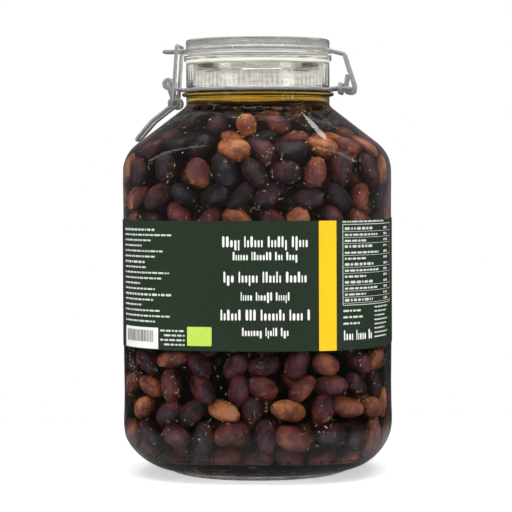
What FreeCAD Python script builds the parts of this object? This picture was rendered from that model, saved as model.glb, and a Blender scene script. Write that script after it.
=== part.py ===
# A large clip-top glass jar of olives in oil: a rounded-square glass body with a round neck, a glass lid on a
# rubber gasket, a wire closure (latch on -X, hinge on +X), a wrap-round paper label, the olives and the oil.
# Millimetres, +Z up, label facing -Y, origin in the middle of the foot on the surface that the jar stands on.
import math
import os

import FreeCAD
import Part
import Sketcher

from FreeCAD import Vector

os.makedirs("parts", exist_ok=True)
doc = FreeCAD.newDocument("olive_jar")

# ---------------------------------------------------------------- driving sizes

SIZES = (
    # glass body
    ("body_half", 87.2, "half width of the body across its faces"),
    ("body_square", 2.7, "exponent of the rounded-square section, 2 is a circle"),
    ("wall", 4.2, "glass wall of the body"),
    ("foot_height", 3.0, "height of the foot ring under the heel"),
    ("foot_radius", 58.8, "outer radius of the foot ring"),
    ("foot_inner", 47.0, "inner radius of the foot ring"),
    ("heel_radius", 60.4, "radius at which the heel starts, just over the foot ring"),
    ("heel_top", 29.5, "height at which the heel has turned into the straight wall"),
    ("base_top", 10.0, "height of the inside floor"),
    ("shoulder_start", 198.0, "height at which the wall turns into the shoulder"),
    ("shoulder_round", 23.4, "radius of the turn from wall to shoulder"),
    ("shoulder_angle", 52.0, "slope of the shoulder away from the vertical, degrees"),
    ("neck_fillet", 6.0, "hollow fillet between shoulder and neck"),
    # neck and mouth
    ("neck_radius", 47.2, "outer radius of the neck"),
    ("neck_wall", 4.4, "glass wall of the neck"),
    ("bead_radius", 50.0, "outer radius of the bead that carries the neck wire"),
    ("bead_bottom", 246.6, "height of the underside of the bead"),
    ("bead_height", 3.4, "height of the bead"),
    ("bead_round", 0.9, "height of the bevels on the bead's edge"),
    ("ring_groove", 0.4, "depth of the groove that holds the neck wire"),
    ("rim_height", 268.4, "height of the mouth's rim"),
    # lid and gasket
    ("gasket_thick", 2.2, "thickness of the pressed gasket"),
    ("gasket_inner", 42.4, "inner radius of the gasket"),
    ("gasket_outer", 47.3, "outer radius of the gasket"),
    ("lid_flange", 48.5, "radius of the lid's lower flange"),
    ("lid_flange_height", 5.2, "height of the lower flange's edge"),
    ("lid_groove", 45.0, "radius of the lid in the wire's groove"),
    ("lid_groove_height", 3.0, "height of the groove"),
    ("lid_top", 47.3, "radius of the lid's upper flange"),
    ("lid_top_height", 5.4, "height of the upper flange's edge"),
    ("lid_edge_round", 1.6, "rounding of the upper flange"),
    ("lid_well", 34.0, "radius of the well in the lid's top"),
    ("lid_well_depth", 5.0, "depth of that well"),
    ("lid_plug", 40.6, "radius of the plug that hangs in the mouth"),
    ("lid_plug_depth", 7.0, "how far the plug hangs below the flange"),
    ("lid_hollow", 35.0, "radius of the hollow under the lid"),
    ("lid_hollow_depth", 9.0, "depth of that hollow from the plug's end"),
    # closure wires
    ("wire_radius", 1.25, "radius of all the closure wires"),
    ("run_gap", 0.3, "running clearance of the closure"),
    ("arm_bend", 2.0, "bend of the neck wire's arms and of the hinge arms' curled ends"),
    ("hinge_bend", 2.2, "bend of the hinge loop"),
    ("nose_bend", 2.6, "bend of the lid wire's nose"),
    ("tight_bend", 1.45, "tightest bend of the lever and the link"),
    ("handle_bend", 6.0, "bend at the handle's end"),
    ("arm_spread", 6.9, "distance from the middle plane to the neck wire's arms"),
    ("eye_out", 58.6, "distance from the axis to the lever's pivot"),
    ("eye_height", 255.6, "height of the lever's pivot"),
    ("coil_out", 54.6, "distance from the axis to the link's lower pivot"),
    ("coil_height", 242.8, "height of the link's lower pivot"),
    ("link_out", 52.0, "distance from the axis to the link's cross bar"),
    ("link_rise", 280.2, "height of the link's cross bar"),
    ("nose_out", 61.6, "reach of the lid wire's nose, to the wire's middle"),
    ("nose_half", 6.2, "half width of the nose"),
    ("nose_drop", 0.8, "clearance under the link's cross bar"),
    ("handle_out", 80.0, "distance from the axis to the handle's end"),
    ("handle_height", 219.0, "height of the handle's end"),
    ("handle_bow", 1.6, "how far the handle bows away from a straight line"),
    ("hinge_out", 61.0, "distance from the axis to the hinge bar"),
    ("hinge_half", 9.6, "half spread of the neck wire's hinge loop"),
    ("hinge_arm_half", 6.2, "half spread of the lid wire's hinge arms"),
    ("elbow_out", 57.2, "distance from the axis to the elbow of the hinge arms"),
    ("elbow_height", 274.4, "height of that elbow"),
    ("stub_height", 261.0, "height of the curled ends of the hinge arms"),
    ("collar_out", 54.8, "distance from the axis to the collar on the hinge loop"),
    # label
    ("label_bottom", 85.4, "height of the label's lower edge"),
    ("label_height", 81.6, "height of the label"),
    ("label_thick", 0.3, "thickness of the label"),
    ("label_glue", 0.12, "film of glue between the glass and the label"),
    ("label_gap_half", 34.0, "half of the gap between the label's ends at the back"),
    # contents
    ("oil_level", 251.8, "height of the oil's surface"),
    ("heap_height", 236.0, "height of the heap of olives, below the topmost ones"),
    ("heap_gap", 0.5, "film of oil between the glass and the olives that touch it most"),
    ("heap_dent", 3.0, "depth of the hollows between olives along the glass"),
    ("olive_length", 21.5, "length of an olive"),
    ("olive_width", 14.8, "width of an olive"),
)

sheet = doc.addObject("Spreadsheet::Sheet", "Sizes")
for row, (alias, value, meaning) in enumerate(SIZES, start=1):
    sheet.set(f"A{row}", meaning)
    sheet.set(f"B{row}", str(value))
    sheet.setAlias(f"B{row}", alias)
doc.recompute()


class Size:
    """A length, with the spreadsheet formula that gives it."""

    def __init__(self, value, formula):
        self.value = value
        self.formula = formula

    def joined(self, sign, other):
        if not isinstance(other, Size):
            other = Size(other, str(other))
        value = self.value + other.value if sign == "+" else self.value - other.value
        return Size(value, f"({self.formula} {sign} {other.formula})")

    def __add__(self, other):
        return self.joined("+", other)

    def __sub__(self, other):
        return self.joined("-", other)

    def __mul__(self, factor):
        return Size(self.value * factor, f"({self.formula} * {factor})")


def size(alias):
    return Size(float(sheet.get(alias)), f"Sizes.{alias}")


def mm(alias):
    return float(sheet.get(alias))


ZERO = Size(0.0, "0")

# ---------------------------------------------------------------- helpers


def turned_body(name, outline):
    """A body turned about Z from (radius, height) corners, each tied to the sheet."""
    body = doc.addObject("PartDesign::Body", name)
    body.Label = name
    sketch = body.newObject("Sketcher::SketchObject", name + "_outline")
    plane = next(f for f in body.Origin.OriginFeatures if f.Role == "XZ_Plane")
    sketch.AttachmentSupport = (plane, [""])
    sketch.MapMode = "FlatFace"
    corners = [Vector(r.value, z.value, 0) for r, z in outline]
    for i, corner in enumerate(corners):
        sketch.addGeometry(Part.LineSegment(corner, corners[(i + 1) % len(corners)]))
    for i, (r, z) in enumerate(outline):
        sketch.addConstraint(Sketcher.Constraint("Coincident", i - 1 if i else len(corners) - 1, 2, i, 1))
        for kind, axis, length in (("DistanceX", -2, r), ("DistanceY", -1, z)):
            if length.value == 0:
                sketch.addConstraint(Sketcher.Constraint("PointOnObject", i, 1, axis))
                continue
            index = sketch.addConstraint(Sketcher.Constraint(kind, -1, 1, i, 1, length.value))
            sketch.renameConstraint(index, f"{kind}{i}")
            sketch.setExpression(f"Constraints.{kind}{i}", length.formula)
    turn = body.newObject("PartDesign::Revolution", name + "_turn")
    turn.Profile = sketch
    turn.ReferenceAxis = (sketch, ["V_Axis"])
    turn.Angle = 360.0
    doc.recompute()
    return body


def rounded(body, name, radius, picks):
    """Fillets the round edges of a turned body that lie at the (radius, height) places in picks."""
    base = body.Tip
    edges = []
    for index, edge in enumerate(base.Shape.Edges, start=1):
        if not isinstance(edge.Curve, Part.Circle):
            continue
        for r, z in picks:
            if abs(edge.Curve.Radius - r.value) < 0.01 and abs(edge.Curve.Center.z - z.value) < 0.01:
                edges.append(f"Edge{index}")
    if len(edges) < len(picks):
        raise RuntimeError(f"{name}: found {len(edges)} of {len(picks)} edges")
    fillet = body.newObject("PartDesign::Fillet", name)
    fillet.Base = (base, edges)
    fillet.setExpression("Radius", radius.formula)
    doc.recompute()
    return fillet


def fused(name, parts):
    whole = doc.addObject("Part::MultiFuse", name)
    whole.Label = name
    whole.Shapes = parts
    doc.recompute()
    return whole


def cut(name, base, tool):
    result = doc.addObject("Part::Cut", name)
    result.Label = name
    result.Base = base
    result.Tool = tool
    doc.recompute()
    return result


def solid_feature(name, shape):
    feature = doc.addObject("Part::Feature", name)
    feature.Label = name
    feature.Shape = shape
    feature.Placement = FreeCAD.Placement()
    return feature


def bent_wire(points, bend, close=False):
    """A round wire along straight runs joined by tangent arcs of radius bend."""
    runs = []
    count = len(points)
    ends = {}
    for i, point in enumerate(points):
        if not close and i in (0, count - 1):
            ends[i] = (point, point, None)
            continue
        back = (points[i - 1] - point).normalize()
        ahead = (points[(i + 1) % count] - point).normalize()
        half = back.getAngle(ahead) / 2
        if math.pi / 2 - half < 0.01:
            ends[i] = (point, point, None)
            continue
        reach = bend / math.tan(half)
        middle = point + (back + ahead).normalize() * (bend / math.sin(half) - bend)
        ends[i] = (point + back * reach, point + ahead * reach, middle)
    for i in range(count):
        start, finish, middle = ends[i]
        if middle is not None:
            runs.append(Part.Arc(start, middle, finish).toShape())
        if i + 1 < count or close:
            following = ends[(i + 1) % count][0]
            if (following - finish).Length > 1e-6:
                runs.append(Part.LineSegment(finish, following).toShape())
    path = Part.Wire(runs)
    first = path.OrderedEdges[0]
    start = first.valueAt(first.FirstParameter)
    direction = first.tangentAt(first.FirstParameter)
    profile = Part.Wire(Part.Circle(start, direction, mm("wire_radius")).toShape())
    return path.makePipeShell([profile], True, False)


def torus(name, radius, thickness, centre, axis):
    """A ring of wire, tied to the sheet. centre holds three sizes."""
    ring = doc.addObject("Part::Torus", name)
    ring.setExpression("Radius1", radius.formula)
    ring.setExpression("Radius2", thickness.formula)
    ring.Placement = FreeCAD.Placement(Vector(0, 0, 0), FreeCAD.Rotation(Vector(0, 0, 1), axis))
    for letter, length in zip("xyz", centre):
        ring.setExpression(f"Placement.Base.{letter}", length.formula)
    doc.recompute()
    return ring


# ---------------------------------------------------------------- glass body


def section(half, power, height):
    """A closed curve: half is the half width across the faces, power 2 is a circle and more is squarer."""
    steps = 32
    points = []
    for i in range(steps):
        angle = 2 * math.pi * i / steps
        across = abs(math.cos(angle)) ** power + abs(math.sin(angle)) ** power
        reach = half * across ** (-1 / power)
        points.append(Vector(reach * math.cos(angle), reach * math.sin(angle), height))
    curve = Part.BSplineCurve()
    curve.interpolate(points, PeriodicFlag=True)
    return Part.Wire(curve.toShape())


def squareness(height):
    """The section's exponent: round at the foot and the neck, rounded-square along the body."""
    low, high = mm("heel_top"), mm("shoulder_start")
    cone_top = high + 2.2 * mm("shoulder_round")
    if height < low:
        share = height / low
    elif height > high:
        share = max(0.0, (cone_top - height) / (cone_top - high))
    else:
        share = 1.0
    share = share * share * (3 - 2 * share)
    return 2.0 + (mm("body_square") - 2.0) * share


def heel(start_radius, start_height, half):
    """(half width, height) pairs from the foot out to the straight wall, a soft superellipse quarter."""
    softness = 1.7
    rise = mm("heel_top") - start_height
    pairs = []
    for turn in (0.0, 0.03, 0.08, 0.16, 0.27, 0.4, 0.55, 0.72, 0.87, 1.0):
        out = (1 - (1 - turn) ** softness) ** (1 / softness)
        pairs.append((start_radius + (half - start_radius) * out, start_height + rise * turn))
    return pairs


def shoulder(inset, neck_radius, neck_fillet):
    """(half width, height) pairs over the shoulder, inset by that much inside the outer face."""
    angle = math.radians(mm("shoulder_angle"))
    turn = mm("shoulder_round")
    centre = mm("body_half") - turn
    low = mm("shoulder_start")
    pairs = []
    for share in (0.0, 0.12, 0.25, 0.4, 0.55, 0.7, 0.85, 1.0):
        a = angle * share
        pairs.append((centre + (turn - inset) * math.cos(a), low + (turn - inset) * math.sin(a)))
    cone_out, cone_low = pairs[-1]
    fillet_out = neck_radius + neck_fillet * (1 - math.cos(angle))
    cone_high = cone_low + (cone_out - fillet_out) / math.tan(angle)
    for share in (0.2, 0.45, 0.7, 0.9, 1.0):
        pairs.append((cone_out + (fillet_out - cone_out) * share, cone_low + (cone_high - cone_low) * share))
    top = cone_high + neck_fillet * math.sin(angle)
    for share in (0.7, 0.45, 0.2, 0.0):
        a = angle * share
        out = neck_radius + neck_fillet * (1 - math.cos(a))
        pairs.append((out, top - neck_fillet * math.sin(a)))
    return pairs


def straight_wall(half):
    low, high = mm("heel_top"), mm("shoulder_start")
    return [(half, low + (high - low) * share) for share in (0.08, 0.3, 0.5, 0.7, 0.92)]


def wall_rings(inset, start_radius, start_height, neck_radius, neck_fillet):
    half = mm("body_half") - inset
    return (
        heel(start_radius, start_height, half)
        + straight_wall(half)
        + shoulder(inset, neck_radius, neck_fillet)
    )


def lofted(rings):
    return Part.makeLoft([section(half, squareness(z), z) for half, z in rings], True, False)


neck_lap = 0.5  # the shoulder's walls run on this far inside the neck's, so that they cross at an angle
bore_radius = mm("neck_radius") - mm("neck_wall")
outer_rings = wall_rings(
    0.0,
    mm("heel_radius"),
    mm("foot_height"),
    mm("neck_radius") - neck_lap,
    mm("neck_fillet"),
)
inner_rings = wall_rings(
    mm("wall"),
    mm("foot_inner"),
    mm("base_top"),
    bore_radius - neck_lap,
    mm("neck_fillet") + mm("wall"),
)
neck_start = outer_rings[-1][1] - 0.7 * mm("neck_fillet")
bore_start = inner_rings[-1][1] - 0.7 * (mm("neck_fillet") + mm("wall"))

outer_loft = solid_feature("outer_wall", lofted(outer_rings))
inner_loft = solid_feature("inner_wall", lofted(inner_rings))

foot = turned_body(
    "foot_ring",
    (
        (ZERO, size("foot_height") * 0.8),
        (size("foot_inner") - size("foot_height"), size("foot_height") * 0.8),
        (size("foot_inner"), ZERO),
        (size("foot_radius") - size("foot_height") * 1.6, ZERO),
        (size("foot_radius") - size("foot_height") * 0.4, size("foot_height") * 0.35),
        (size("foot_radius"), size("foot_height") * 0.8),
        (size("foot_radius"), size("foot_height") * 1.1),
        (ZERO, size("foot_height") * 1.1),
    ),
)

bead_top = size("bead_bottom") + size("bead_height")
neck = turned_body(
    "neck_finish",
    (
        (size("neck_radius") - size("neck_wall") - neck_lap, Size(neck_start, str(neck_start))),
        (size("neck_radius"), Size(neck_start, str(neck_start))),
        (size("neck_radius"), size("bead_bottom")),
        (size("bead_radius"), size("bead_bottom") + size("bead_round")),
        (size("bead_radius"), bead_top - size("bead_round")),
        (size("neck_radius") - size("ring_groove"), bead_top),
        (size("neck_radius") - size("ring_groove"), bead_top + size("wire_radius") * 2.4),
        (size("neck_radius"), bead_top + size("wire_radius") * 2.8),
        (size("neck_radius"), size("rim_height")),
        (size("neck_radius") - size("neck_wall"), size("rim_height")),
        (size("neck_radius") - size("neck_wall"), size("rim_height") - 2.0),
        (size("neck_radius") - size("neck_wall") - neck_lap, size("rim_height") - 3.0),
    ),
)
rounded(
    neck,
    "neck_rounding",
    size("bead_height") * 0.22,
    (
        (size("bead_radius"), size("bead_bottom") + size("bead_round")),
        (size("bead_radius"), bead_top - size("bead_round")),
        (size("neck_radius"), size("rim_height")),
        (size("neck_radius") - size("neck_wall"), size("rim_height")),
    ),
)

bore = doc.addObject("Part::Cylinder", "mouth_bore")
bore.setExpression("Radius", (size("neck_radius") - size("neck_wall")).formula)
bore.setExpression("Height", f"{size('rim_height').formula} - {bore_start} + 2")
bore.Placement.Base = Vector(0, 0, bore_start)
doc.recompute()

glass = fused("glass_outside", [outer_loft, foot, neck])
cavity = fused("glass_inside", [inner_loft, bore])
jar = cut("jar", glass, cavity)

# ---------------------------------------------------------------- lid and gasket

gasket_top = size("rim_height") + size("gasket_thick")
flange_top = gasket_top + size("lid_flange_height")
groove_top = flange_top + size("lid_groove_height")
lid_summit = groove_top + size("lid_top_height")
plug_end = gasket_top - size("lid_plug_depth")

gasket = turned_body(
    "gasket",
    (
        (size("gasket_inner"), size("rim_height")),
        (size("gasket_outer"), size("rim_height")),
        (size("gasket_outer"), gasket_top),
        (size("gasket_inner"), gasket_top),
    ),
)
rounded(
    gasket,
    "gasket_rounding",
    size("gasket_thick") * 0.3,
    ((size("gasket_outer"), size("rim_height")), (size("gasket_outer"), gasket_top)),
)

lid = turned_body(
    "lid",
    (
        (ZERO, plug_end + size("lid_hollow_depth")),
        (size("lid_hollow") - size("lid_hollow_depth") * 0.4, plug_end + size("lid_hollow_depth")),
        (size("lid_hollow"), plug_end),
        (size("lid_plug"), plug_end),
        (size("lid_plug"), gasket_top),
        (size("lid_flange"), gasket_top),
        (size("lid_flange"), flange_top),
        (size("lid_groove"), flange_top),
        (size("lid_groove"), groove_top),
        (size("lid_top"), groove_top),
        (size("lid_top"), lid_summit),
        (size("lid_well"), lid_summit),
        (size("lid_well") - size("lid_well_depth") * 0.5, lid_summit - size("lid_well_depth")),
        (ZERO, lid_summit - size("lid_well_depth")),
    ),
)
rounded(
    lid,
    "lid_rounding",
    size("lid_edge_round"),
    (
        (size("lid_top"), lid_summit),
        (size("lid_well"), lid_summit),
        (size("lid_flange"), flange_top),
        (size("lid_plug"), plug_end),
    ),
)

# ---------------------------------------------------------------- closure wires

wire = size("wire_radius")
ring_fit = 0.05  # the rings lie in their grooves
neck_ring_radius = size("neck_radius") - size("ring_groove") + wire + ring_fit
neck_ring_height = bead_top + wire + ring_fit
lid_ring_radius = size("lid_groove") + wire + ring_fit
lid_ring_height = flange_top + size("lid_groove_height") * 0.5
eye_radius = wire * 2 + size("run_gap")  # a turn of wire round a pin of the same wire
strand = mm("arm_spread")
step = 2 * wire.value + mm("run_gap") + 0.1  # from one plane of wire to the next beside it
lever_plane = strand + step
link_plane = lever_plane + step
pin_end = 0.15


def on_ring(radius, side, height, sign):
    """The point of a ring's wire at that distance from the middle plane, on the -X or +X side."""
    return Vector(sign * math.sqrt(radius**2 - side**2), side, height)


def place(out, side, height):
    return Vector(out, side, height)


def add_wire(name, points, bend, close=False):
    return solid_feature(name, bent_wire(points, bend, close))


# the wire round the neck, with two eyes for the lever and the loop for the hinge
neck_parts = [torus("neck_ring", neck_ring_radius, wire, (ZERO, ZERO, neck_ring_height), Vector(0, 0, 1))]
for index, side in enumerate((-1, 1)):
    start = on_ring(neck_ring_radius.value, side * strand, neck_ring_height.value, -1)
    eye = place(-mm("eye_out"), side * strand, mm("eye_height"))
    under_eye = place(eye.x + 1.2, side * strand, eye.z - eye_radius.value)
    neck_parts.append(add_wire(f"eye_arm_{index}", [start, under_eye], mm("arm_bend")))
    neck_parts.append(
        torus(
            f"eye_{index}",
            eye_radius,
            wire,
            (size("eye_out") * -1, size("arm_spread") * side, size("eye_height")),
            Vector(0, 1, 0),
        )
    )
hinge_z = neck_ring_height.value + 0.6
hinge_side = mm("hinge_half")
loop_start = on_ring(neck_ring_radius.value, hinge_side, neck_ring_height.value, 1)
neck_parts.append(
    add_wire(
        "hinge_loop",
        [
            place(loop_start.x, -hinge_side, loop_start.z),
            place(mm("collar_out") - 3.0, -hinge_side, hinge_z),
            place(mm("hinge_out"), -hinge_side, hinge_z),
            place(mm("hinge_out"), hinge_side, hinge_z),
            place(mm("collar_out") - 3.0, hinge_side, hinge_z),
            place(loop_start.x, hinge_side, loop_start.z),
        ],
        mm("hinge_bend"),
    )
)
neck_wire = fused("neck_wire", neck_parts)

# the collar that holds the two strands of the hinge loop together
collar_high = mm("run_gap") + 2 * wire.value
collar_side = hinge_side + 2 * wire.value + mm("run_gap")
collar = add_wire(
    "hinge_collar",
    [
        place(mm("collar_out"), -collar_side, hinge_z - collar_high),
        place(mm("collar_out"), collar_side, hinge_z - collar_high),
        place(mm("collar_out"), collar_side, hinge_z + collar_high),
        place(mm("collar_out"), -collar_side, hinge_z + collar_high),
    ],
    collar_high - 0.1,
    close=True,
)

# the wire round the lid, with the nose for the link and the arms that hook under the hinge bar
nose_z = mm("link_rise") - 2 * wire.value - mm("nose_drop")
nose_half = mm("nose_half")
nose_start = on_ring(lid_ring_radius.value, nose_half, lid_ring_height.value, -1)
lid_parts = [torus("lid_ring", lid_ring_radius, wire, (ZERO, ZERO, lid_ring_height), Vector(0, 0, 1))]
lid_parts.append(
    add_wire(
        "nose",
        [
            place(nose_start.x, -nose_half, nose_start.z),
            place(-mm("link_out") + 1.0, -nose_half, nose_z),
            place(-mm("nose_out"), -nose_half * 0.86, nose_z),
            place(-mm("nose_out"), nose_half * 0.86, nose_z),
            place(-mm("link_out") + 1.0, nose_half, nose_z),
            place(nose_start.x, nose_half, nose_start.z),
        ],
        mm("nose_bend"),
    )
)
hook = eye_radius.value
for index, side in enumerate((-1, 1)):
    y = side * mm("hinge_arm_half")
    start = on_ring(lid_ring_radius.value, y, lid_ring_height.value, 1)
    bar = place(mm("hinge_out"), y, hinge_z)
    lid_parts.append(
        add_wire(
            f"hinge_arm_{index}",
            [
                start,
                place(mm("elbow_out"), y, mm("elbow_height")),
                place(bar.x + hook, y, bar.z + 2.0),
                place(bar.x + hook, y, bar.z - hook),
                place(bar.x - hook, y, bar.z - hook),
                place(bar.x - hook, y, bar.z + 2.0),
                place(bar.x - hook + 1.2, y, mm("stub_height")),
            ],
            mm("arm_bend"),
        )
    )
lid_wire = fused("lid_wire", lid_parts)

# the lever: pins in the eyes, a turn of wire each side that carries the link, and the handle
eye = place(-mm("eye_out"), 0, mm("eye_height"))
coil = place(-mm("coil_out"), 0, mm("coil_height"))
handle_end = place(-mm("handle_out"), 0, mm("handle_height"))
arm_end = coil + (eye - coil).normalize() * eye_radius.value
handle_start = coil + (handle_end - coil).normalize() * eye_radius.value
lever_parts = []
for index, side in enumerate((-1, 1)):
    y = side * lever_plane
    lever_parts.append(
        add_wire(
            f"lever_arm_{index}",
            [
                place(eye.x, side * (strand - wire.value - pin_end), eye.z),
                place(eye.x, y, eye.z),
                place(arm_end.x, y, arm_end.z),
            ],
            mm("tight_bend"),
        )
    )
    lever_parts.append(
        torus(
            f"coil_{index}",
            eye_radius,
            wire,
            (size("coil_out") * -1, Size(y, str(y)), size("coil_height")),
            Vector(0, 1, 0),
        )
    )
along = handle_end - handle_start
outward = Vector(along.z, 0, -along.x).normalize()
bowed = handle_start + along * 0.5 + outward * mm("handle_bow")
lever_parts.append(
    add_wire(
        "handle",
        [
            handle_start + Vector(0, -lever_plane, 0),
            bowed + Vector(0, -lever_plane, 0),
            handle_end + Vector(0, -lever_plane * 0.9, 0),
            handle_end + Vector(0, lever_plane * 0.9, 0),
            bowed + Vector(0, lever_plane, 0),
            handle_start + Vector(0, lever_plane, 0),
        ],
        mm("handle_bend"),
    )
)
lever = fused("latch_lever", lever_parts)

# the link: pins in the lever's turns, and a cross bar over the nose
link_top = place(-mm("link_out"), 0, mm("link_rise"))
link = add_wire(
    "latch_link",
    [
        coil + Vector(0, -(lever_plane - wire.value - pin_end), 0),
        coil + Vector(0, -link_plane, 0),
        link_top + Vector(0, -link_plane, 0),
        link_top + Vector(0, link_plane, 0),
        coil + Vector(0, link_plane, 0),
        coil + Vector(0, lever_plane - wire.value - pin_end, 0),
    ],
    mm("tight_bend"),
)

# ---------------------------------------------------------------- label


def prism(half, low, high):
    """A straight length of the body's rounded-square section."""
    face = Part.Face(section(half, mm("body_square"), low))
    return face.extrude(Vector(0, 0, high - low))


label_low = mm("label_bottom")
label_high = label_low + mm("label_height")
label_seat = mm("body_half") + mm("label_glue")
inside_label = prism(label_seat, label_low - 1, label_high + 1)
outside_label = prism(label_seat + mm("label_thick"), label_low, label_high)
back_gap = Part.makeBox(
    2 * mm("label_gap_half"),
    mm("body_half"),
    mm("label_height") + 2,
    Vector(-mm("label_gap_half"), mm("body_half") * 0.5, label_low - 1),
)
label = solid_feature("label", outside_label.cut(inside_label).cut(back_gap).Solids[0])

# ---------------------------------------------------------------- contents


def ring_at(height):
    """Half width of the inside wall at that height, between the rings that make the wall."""
    for (low_out, low), (high_out, high) in zip(inner_rings, inner_rings[1:]):
        if low <= height <= high:
            return low_out + (high_out - low_out) * (height - low) / (high - low)
    return bore_radius


def heap_ring(height, row, share=1.0):
    """One ring of the heap's corners: out on each olive along the glass, and in between each two."""
    half = (ring_at(height) - mm("heap_gap")) * share
    around = round(2 * math.pi * mm("body_half") / mm("olive_length"))
    power = squareness(height)
    corners = []
    for i in range(2 * around):
        angle = math.pi * i / around
        across = abs(math.cos(angle)) ** power + abs(math.sin(angle)) ** power
        reach = half * across ** (-1 / power)
        if (i + row) % 2:
            reach -= mm("heap_dent") * share
        corners.append(Vector(reach * math.cos(angle), reach * math.sin(angle), height))
    return corners


def faceted(rings, low_tip, high_tip):
    """A solid of triangles through rings of corners, closed by a tip below and one above."""
    count = len(rings[0])
    triangles = []
    for i in range(count):
        j = (i + 1) % count
        triangles.append((low_tip, rings[0][j], rings[0][i]))
        triangles.append((high_tip, rings[-1][i], rings[-1][j]))
        for below, above in zip(rings, rings[1:]):
            triangles.append((below[i], below[j], above[i]))
            triangles.append((below[j], above[j], above[i]))
    faces = [Part.Face(Part.makePolygon([a, b, c, a])) for a, b, c in triangles]
    return Part.Solid(Part.Shell(faces))


heap_low = mm("base_top") + 1.2
heap_rows = round((mm("heap_height") - heap_low) / (mm("olive_width") * 0.8))
heap_rings = [
    heap_ring(heap_low + (mm("heap_height") - heap_low) * row / heap_rows, row)
    for row in range(heap_rows + 1)
]
for row, (share, lift) in enumerate(((0.8, 2.6), (0.45, 3.4)), start=heap_rows + 1):
    heap_rings.append(heap_ring(mm("heap_height") + lift, row, share))
heap_tip = Vector(0, 0, mm("heap_height") + 3.0)
olives = solid_feature("olives", faceted(heap_rings, Vector(0, 0, heap_low), heap_tip))

oil_top = doc.addObject("Part::Cylinder", "oil_top")
oil_top.setExpression("Radius", (size("neck_radius") - size("neck_wall")).formula)
oil_top.setExpression("Height", f"{size('oil_level').formula} - {bore_start}")
oil_top.Placement.Base = Vector(0, 0, bore_start)
doc.recompute()
filling = fused("filling", [inner_loft, oil_top])
hollow = olives.Shape.Shells[0].copy()
hollow.reverse()
oil = solid_feature("oil", Part.makeSolid(Part.Compound([filling.Shape.Shells[0], hollow])))

# ---------------------------------------------------------------- checks and files

doc.recompute()
for item in doc.Objects:
    if "Invalid" in item.State or "Error" in item.State:
        raise RuntimeError(f"{item.Label}: {item.State}")

pieces = (jar, lid, gasket, neck_wire, lid_wire, collar, lever, link, label, oil, olives)
for piece in pieces:
    shape = piece.Shape
    if shape.isNull() or not shape.isValid() or len(shape.Solids) != 1:
        raise RuntimeError(f"{piece.Label}: bad shape, {len(shape.Solids)} solids")

for piece in pieces:
    piece.Shape.exportStep(f"parts/{piece.Label}.step")
    low, high = piece.Shape.BoundBox.ZMin, piece.Shape.BoundBox.ZMax
    print(f"{piece.Label}: {piece.Shape.Volume / 1000:.1f} ml, {low:.1f} to {high:.1f} mm")
brimful = cavity.Shape.Volume - math.pi * bore_radius**2 * 2
print(f"brimful {brimful / 1e6:.3f} l, contents {filling.Shape.Volume / 1e6:.3f} l")
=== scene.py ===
import math

import bpy
import numpy as np
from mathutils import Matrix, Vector, noise
from mathutils.bvhtree import BVHTree


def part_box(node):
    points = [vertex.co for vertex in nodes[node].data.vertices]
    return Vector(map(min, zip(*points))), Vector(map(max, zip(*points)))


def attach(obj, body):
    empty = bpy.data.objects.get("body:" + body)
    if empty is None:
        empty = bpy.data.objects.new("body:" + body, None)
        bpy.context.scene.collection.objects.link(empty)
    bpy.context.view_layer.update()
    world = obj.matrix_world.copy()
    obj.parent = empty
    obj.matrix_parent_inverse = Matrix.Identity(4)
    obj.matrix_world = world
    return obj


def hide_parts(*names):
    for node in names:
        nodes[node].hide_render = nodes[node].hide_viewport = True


# The looks of a clip-top jar of olives: glass, oil, single olives with herbs, the printed label and the
# closure.
# Metres, +Z up, label facing -Y, latch on -X.

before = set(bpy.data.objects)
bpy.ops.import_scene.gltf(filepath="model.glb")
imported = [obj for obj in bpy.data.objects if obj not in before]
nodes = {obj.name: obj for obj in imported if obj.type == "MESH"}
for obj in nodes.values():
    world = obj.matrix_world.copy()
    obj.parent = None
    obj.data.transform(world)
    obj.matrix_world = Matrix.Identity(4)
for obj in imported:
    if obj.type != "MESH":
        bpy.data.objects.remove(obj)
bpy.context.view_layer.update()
rng = np.random.default_rng(11)
MM = 0.001

# ---------------------------------------------------------------- helpers


def mesh_piece(name, points, faces, values=None, slots=None):
    """A smooth mesh that rides on the jar. values holds {attribute: one number per point}."""
    mesh = bpy.data.meshes.new(name)
    mesh.from_pydata([tuple(p) for p in points], [], [tuple(f) for f in faces])
    mesh.polygons.foreach_set("use_smooth", [True] * len(mesh.polygons))
    for key, numbers in (values or {}).items():
        mesh.attributes.new(key, "FLOAT", "POINT").data.foreach_set("value", np.asarray(numbers, np.float32))
    if slots is not None:
        mesh.polygons.foreach_set("material_index", slots)
    mesh.update()
    piece = bpy.data.objects.new(name, mesh)
    bpy.context.scene.collection.objects.link(piece)
    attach(piece, "jar_body")
    return piece


def dress(piece, *materials):
    """Gives a piece its materials, one per slot."""
    for index, material in enumerate(materials):
        if index < len(piece.material_slots):
            piece.material_slots[index].material = material
        else:
            piece.data.materials.append(material)
    return piece


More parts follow.
